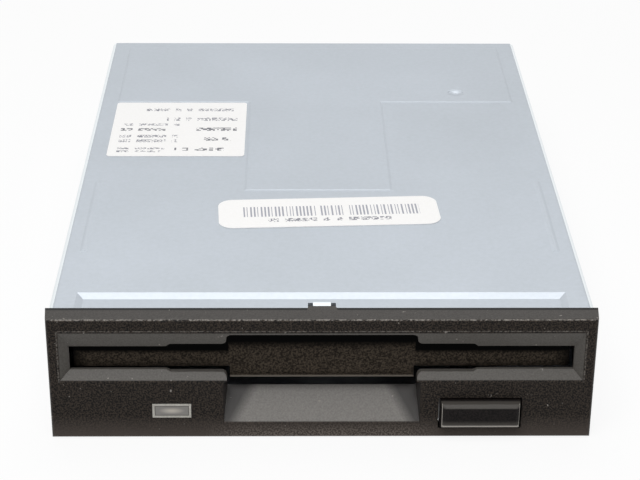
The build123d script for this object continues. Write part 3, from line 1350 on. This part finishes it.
def bent_pin(x, z, tail_back, tip_back):
    """A square pin that runs back from its tail, which stands on the board."""
    half = PIN_SIDE / 2
    with BuildSketch(side(x - half)) as outline:
        area(tail_back - half, tail_back + half, board_top, z + half)
        area(tail_back - half, tip_back, z - half, z + half)
    extrude(outline.sketch, amount=PIN_SIDE)


signal_half = SIGNAL_COLUMNS * SIGNAL_PITCH / 2 + SIGNAL_END_ROOM
signal_middle = board_top + (CONNECTOR_WALL + SIGNAL_HEIGHT) / 2
signal_tail = signal_front - TAIL_GAP - PIN_SIDE / 2
signal_start = signal_x - SIGNAL_PITCH * (SIGNAL_COLUMNS - 1) / 2
signal_xs = [signal_start + SIGNAL_PITCH * column for column in range(SIGNAL_COLUMNS)]
signal_rows = (
    (signal_middle - SIGNAL_PITCH / 2, signal_tail),
    (signal_middle + SIGNAL_PITCH / 2, signal_tail - SIGNAL_PITCH / 2),
)
with BuildPart() as signal_header:
    connector_tray(signal_x, signal_half, signal_front, SIGNAL_BACK_WALL, SIGNAL_HEIGHT)
    for z, tail in signal_rows:
        for x in signal_xs:
            pin_bore(x, z, signal_front, SIGNAL_BACK_WALL)
signal_header.part.label = "signal_header"
export_step(signal_header.part, "parts/signal_header.step")

with BuildPart() as signal_pins:
    for z, tail in signal_rows:
        for x in signal_xs:
            bent_pin(x, z, tail, BODY_LENGTH + PIN_REACH)
signal_pins.part.label = "signal_pins"
export_step(signal_pins.part, "parts/signal_pins.step")

power_half = POWER_PINS * POWER_PITCH / 2 + POWER_END_ROOM
power_z = board_top + (CONNECTOR_WALL + POWER_HEIGHT) / 2
power_tail = power_front - TAIL_GAP - PIN_SIDE / 2
power_xs = [power_x + POWER_PITCH * (pin - (POWER_PINS - 1) / 2) for pin in range(POWER_PINS)]
with BuildPart() as power_connector:
    connector_tray(power_x, power_half, power_front, POWER_BACK_WALL, POWER_HEIGHT)
    for x in power_xs:
        pin_bore(x, power_z, power_front, POWER_BACK_WALL)
power_connector.part.label = "power_connector"
export_step(power_connector.part, "parts/power_connector.step")

with BuildPart() as power_pins:
    for x in power_xs:
        bent_pin(x, power_z, power_tail, BODY_LENGTH)
power_pins.part.label = "power_pins"
export_step(power_pins.part, "parts/power_pins.step")

# Stepper bracket: an upright plate on two feet, which also holds the rod's rear end
foot_xs = (rear_opening_half, bracket_half)
with BuildPart() as stepper_bracket:
    with BuildSketch(upright(bracket_back)):
        area(-bracket_half, bracket_half, FLOOR_TOP, BRACKET_TOP)
        area(-FLEX_HALF - BRACKET_FLEX_GAP, FLEX_HALF + BRACKET_FLEX_GAP,
             FLOOR_TOP - OVERRUN, CARRIAGE_LOW + BRACKET_FLEX_GAP, mode=Mode.SUBTRACT)
        with Locations((rod_x, ROD_Z)):
            Circle(ROD_RADIUS + RUNNING, mode=Mode.SUBTRACT)
        with Locations((-rod_x, ROD_Z)):
            Circle(SCREW_LINE_RADIUS + GLIDE, mode=Mode.SUBTRACT)
    extrude(amount=-BRACKET_SHEET)
    for hand in (-1, 1):
        slab(sorted(hand * x for x in foot_xs), (bracket_end, bracket_end + BRACKET_FOOT),
             (FLOOR_TOP, foot_top))
        shank(hand * foot_screw_x, foot_screw_back, SCREW_RADIUS + SLIP,
              (FLOOR_TOP - OVERRUN, foot_top + OVERRUN), mode=Mode.SUBTRACT)
stepper_bracket.part.label = "stepper_bracket"
export_step(stepper_bracket.part, "parts/stepper_bracket.step")

with BuildPart() as bracket_screws:
    for hand in (-1, 1):
        pan_screw(hand * foot_screw_x, foot_screw_back, foot_top, SCREW_BITE, up=-1)
bracket_screws.part.label = "bracket_screws"
export_step(bracket_screws.part, "parts/bracket_screws.step")

stepper_end = bracket_end + STEPPER_LENGTH
with BuildPart() as stepper_motor:
    rod(-rod_x, ROD_Z, STEPPER_RADIUS, (bracket_end, stepper_end))
    chamfer(stepper_motor.edges().group_by(Axis.Y)[-1], length=STEPPER_EDGE)
    rod(-rod_x, ROD_Z, STEPPER_BOSS_RADIUS, (stepper_end, stepper_end + STEPPER_BOSS))
    rod(-rod_x, ROD_Z, SCREW_LINE_RADIUS + RUNNING, (bracket_end - OVERRUN, stepper_end), mode=Mode.SUBTRACT)
stepper_motor.part.label = "stepper_motor"
export_step(stepper_motor.part, "parts/stepper_motor.step")

with BuildPart() as lead_screw:
    rod(-rod_x, ROD_Z, SCREW_LINE_RADIUS, (rod_front, stepper_end - GLIDE))
lead_screw.part.label = "lead_screw"
export_step(lead_screw.part, "parts/lead_screw.step")

with BuildPart() as guide_rod:
    rod(rod_x, ROD_Z, ROD_RADIUS, (rod_front, bracket_end))
guide_rod.part.label = "guide_rod"
export_step(guide_rod.part, "parts/guide_rod.step")

# Head carriage: a nose under the disk, shoulders on the rod and the lead screw, ears for the arm
carriage_top = CARRIAGE_LOW + CARRIAGE_HEIGHT
upper_head_low = medium_z + MEDIUM_GAP
arm_low = upper_head_low + UPPER_HEAD_HEIGHT
arm_hinge_z = arm_low + ARM_SHEET / 2
window_middle = (carriage_shoulder + upright_front) / 2
with BuildPart() as head_carriage:
    with BuildSketch(level(CARRIAGE_LOW)):
        area(-CARRIAGE_NOSE_HALF, CARRIAGE_NOSE_HALF, head_back - CARRIAGE_NOSE, carriage_shoulder)
        area(-CARRIAGE_HALF, CARRIAGE_HALF, carriage_shoulder, carriage_end)
        area(-CARRIAGE_WINDOW_HALF, CARRIAGE_WINDOW_HALF,
             window_middle - CARRIAGE_WINDOW / 2, window_middle + CARRIAGE_WINDOW / 2, mode=Mode.SUBTRACT)
    extrude(amount=CARRIAGE_HEIGHT)
    for hand in (-1, 1):
        slab(
            sorted((hand * (ARM_HALF + SLIP), hand * UPRIGHT_HALF)),
            (upright_front, carriage_end),
            (carriage_top, UPRIGHT_TOP),
        )
    cross_pin(arm_hinge_back, arm_hinge_z, ARM_PIN_RADIUS + RUNNING, (-CARRIAGE_HALF, CARRIAGE_HALF),
              mode=Mode.SUBTRACT)
    bore_backs = (carriage_shoulder - OVERRUN, carriage_end + OVERRUN)
    rod(rod_x, ROD_Z, ROD_RADIUS + RUNNING, bore_backs, mode=Mode.SUBTRACT)
    rod(-rod_x, ROD_Z, SCREW_LINE_RADIUS + GLIDE, bore_backs, mode=Mode.SUBTRACT)
    slab(
        (-rod_x - FOLLOWER_WIDTH / 2, FOLLOWER_WIDTH / 2 - rod_x),
        (follower_back - FOLLOWER_LENGTH / 2, follower_back + FOLLOWER_LENGTH / 2),
        (ROD_Z, carriage_top + OVERRUN),
        mode=Mode.SUBTRACT,
    )
    slab(
        (CARRIAGE_HALF, CARRIAGE_HALF + FLAG_REACH),
        (sensor_back - FLAG_LENGTH / 2, sensor_back + FLAG_LENGTH / 2),
        (CARRIAGE_LOW, CARRIAGE_LOW + FLAG_THICKNESS),
    )
head_carriage.part.label = "head_carriage"
export_step(head_carriage.part, "parts/head_carriage.step")

# Lower head on the carriage's nose
with BuildPart() as lower_head:
    slab((-HEAD_WIDTH / 2, HEAD_WIDTH / 2), (head_back - HEAD_LENGTH / 2, head_back + HEAD_LENGTH / 2),
         (carriage_top, medium_z))
lower_head.part.label = "lower_head"
export_step(lower_head.part, "parts/lower_head.step")

# Upper arm and head: laid flat on the disk, then swung up to where they wait with no disk in
arm_axis = Axis((0, FACE_Y + arm_hinge_back, arm_hinge_z), (1, 0, 0))
arm_angle = degrees(asin(ARM_LIFT / (arm_hinge_back - head_back)))
with BuildPart() as arm_flat:
    with BuildSketch(level(arm_low)):
        with BuildLine():
            Polyline(
                (-ARM_HALF, arm_hinge_back),
                (ARM_HALF, arm_hinge_back),
                (ARM_TIP_HALF, head_back - ARM_NOSE),
                (-ARM_TIP_HALF, head_back - ARM_NOSE),
                close=True,
            )
        make_face()
    extrude(amount=ARM_SHEET)
    cross_pin(arm_hinge_back, arm_hinge_z, ARM_KNUCKLE_RADIUS, (-ARM_HALF, ARM_HALF))
    cross_pin(arm_hinge_back, arm_hinge_z, ARM_PIN_RADIUS + RUNNING,
              (-ARM_HALF - OVERRUN, ARM_HALF + OVERRUN), mode=Mode.SUBTRACT)
with BuildPart() as upper_head_arm:
    add(arm_flat.part.rotate(arm_axis, -arm_angle))
upper_head_arm.part.label = "upper_head_arm"
export_step(upper_head_arm.part, "parts/upper_head_arm.step")

with BuildPart() as head_flat:
    slab((-HEAD_WIDTH / 2, HEAD_WIDTH / 2), (head_back - HEAD_LENGTH / 2, head_back + HEAD_LENGTH / 2),
         (upper_head_low, arm_low))
with BuildPart() as upper_head:
    add(head_flat.part.rotate(arm_axis, -arm_angle))
upper_head.part.label = "upper_head"
export_step(upper_head.part, "parts/upper_head.step")

with BuildPart() as arm_pin:
    cross_pin(arm_hinge_back, arm_hinge_z, ARM_PIN_RADIUS, (-UPRIGHT_HALF, UPRIGHT_HALF))
arm_pin.part.label = "arm_pin"
export_step(arm_pin.part, "parts/arm_pin.step")

# Follower: a leaf on the carriage that presses a pin against the lead screw
with BuildPart() as screw_follower:
    slab(
        (-CARRIAGE_HALF, FOLLOWER_WIDTH - rod_x),
        (follower_back - FOLLOWER_LENGTH, follower_back + FOLLOWER_LENGTH),
        (carriage_top, carriage_top + FOLLOWER_SHEET),
    )
    post(-rod_x, follower_back, FOLLOWER_PIN_RADIUS, (ROD_Z + SCREW_LINE_RADIUS + SLIP, carriage_top))
screw_follower.part.label = "screw_follower"
export_step(screw_follower.part, "parts/screw_follower.step")

# Track-zero sensor: a light gate that the carriage's flag enters
gate_middle = CARRIAGE_LOW + FLAG_THICKNESS / 2
with BuildPart() as track_zero_sensor:
    slab((sensor_x - SENSOR_WIDTH / 2, sensor_x + SENSOR_WIDTH / 2),
         (sensor_back - SENSOR_LENGTH / 2, sensor_back + SENSOR_LENGTH / 2),
         (FLOOR_TOP, FLOOR_TOP + SENSOR_HEIGHT))
    slab((sensor_x - SENSOR_WIDTH / 2 - OVERRUN, sensor_x + SENSOR_WIDTH / 2 - SENSOR_SPINE),
         (sensor_back - SENSOR_LENGTH / 2 - OVERRUN, sensor_back + SENSOR_LENGTH / 2 + OVERRUN),
         (gate_middle - SENSOR_GAP / 2, gate_middle + SENSOR_GAP / 2), mode=Mode.SUBTRACT)
track_zero_sensor.part.label = "track_zero_sensor"
export_step(track_zero_sensor.part, "parts/track_zero_sensor.step")

# Head flex: a flat cable that rolls behind the carriage, and its socket on the main board
flex_high = CARRIAGE_LOW - FLEX_SHEET / 2
flex_low = flex_high - 2 * FLEX_BEND_RADIUS
socket_end = flex_socket_back + FLEX_SOCKET_LENGTH
with BuildPart() as head_flex:
    with BuildSketch(side(-FLEX_HALF)):
        with BuildLine():
            Line((flex_fixed_back, flex_high), (flex_bend_back, flex_high))
            CenterArc((flex_bend_back, (flex_high + flex_low) / 2), FLEX_BEND_RADIUS, 90, -180)
            Line((flex_bend_back, flex_low), (socket_end, flex_low))
        trace(line_width=FLEX_SHEET)
    extrude(amount=2 * FLEX_HALF)
head_flex.part.label = "head_flex"
export_step(head_flex.part, "parts/head_flex.step")

with BuildPart() as flex_socket:
    slab((-FLEX_HALF - SLIP, FLEX_HALF + SLIP), (flex_socket_back, socket_end),
         (board_top, board_top + FLEX_SOCKET_HEIGHT))
flex_socket.part.label = "flex_socket"
export_step(flex_socket.part, "parts/flex_socket.step")

# Switches that sense the disk, its write tab and its density hole
switch_top = FLOOR_TOP + SWITCH_HEIGHT
with BuildPart() as switch_bodies:
    for x in switch_xs:
        slab((x - SWITCH_WIDTH / 2, x + SWITCH_WIDTH / 2),
             (switch_back - SWITCH_LENGTH / 2, switch_back + SWITCH_LENGTH / 2), (FLOOR_TOP, switch_top))
        post(x, switch_back, PLUNGER_RADIUS + RUNNING, (switch_top - PLUNGER_BORE, switch_top + OVERRUN),
             mode=Mode.SUBTRACT)
switch_bodies.part.label = "switch_bodies"
export_step(switch_bodies.part, "parts/switch_bodies.step")

plunger_low = switch_top - PLUNGER_BORE + PLUNGER_TRAVEL + SLIP
for name, x in zip(("write_tab_plunger", "disk_plunger", "density_plunger"), switch_xs):
    with BuildPart() as plunger:
        post(x, switch_back, PLUNGER_RADIUS, (plunger_low, PLUNGER_TOP))
        chamfer(plunger.edges().group_by(Axis.Z)[-1], length=PLUNGER_RADIUS / 2)
    plunger.part.label = name
    export_step(plunger.part, f"parts/{name}.step")
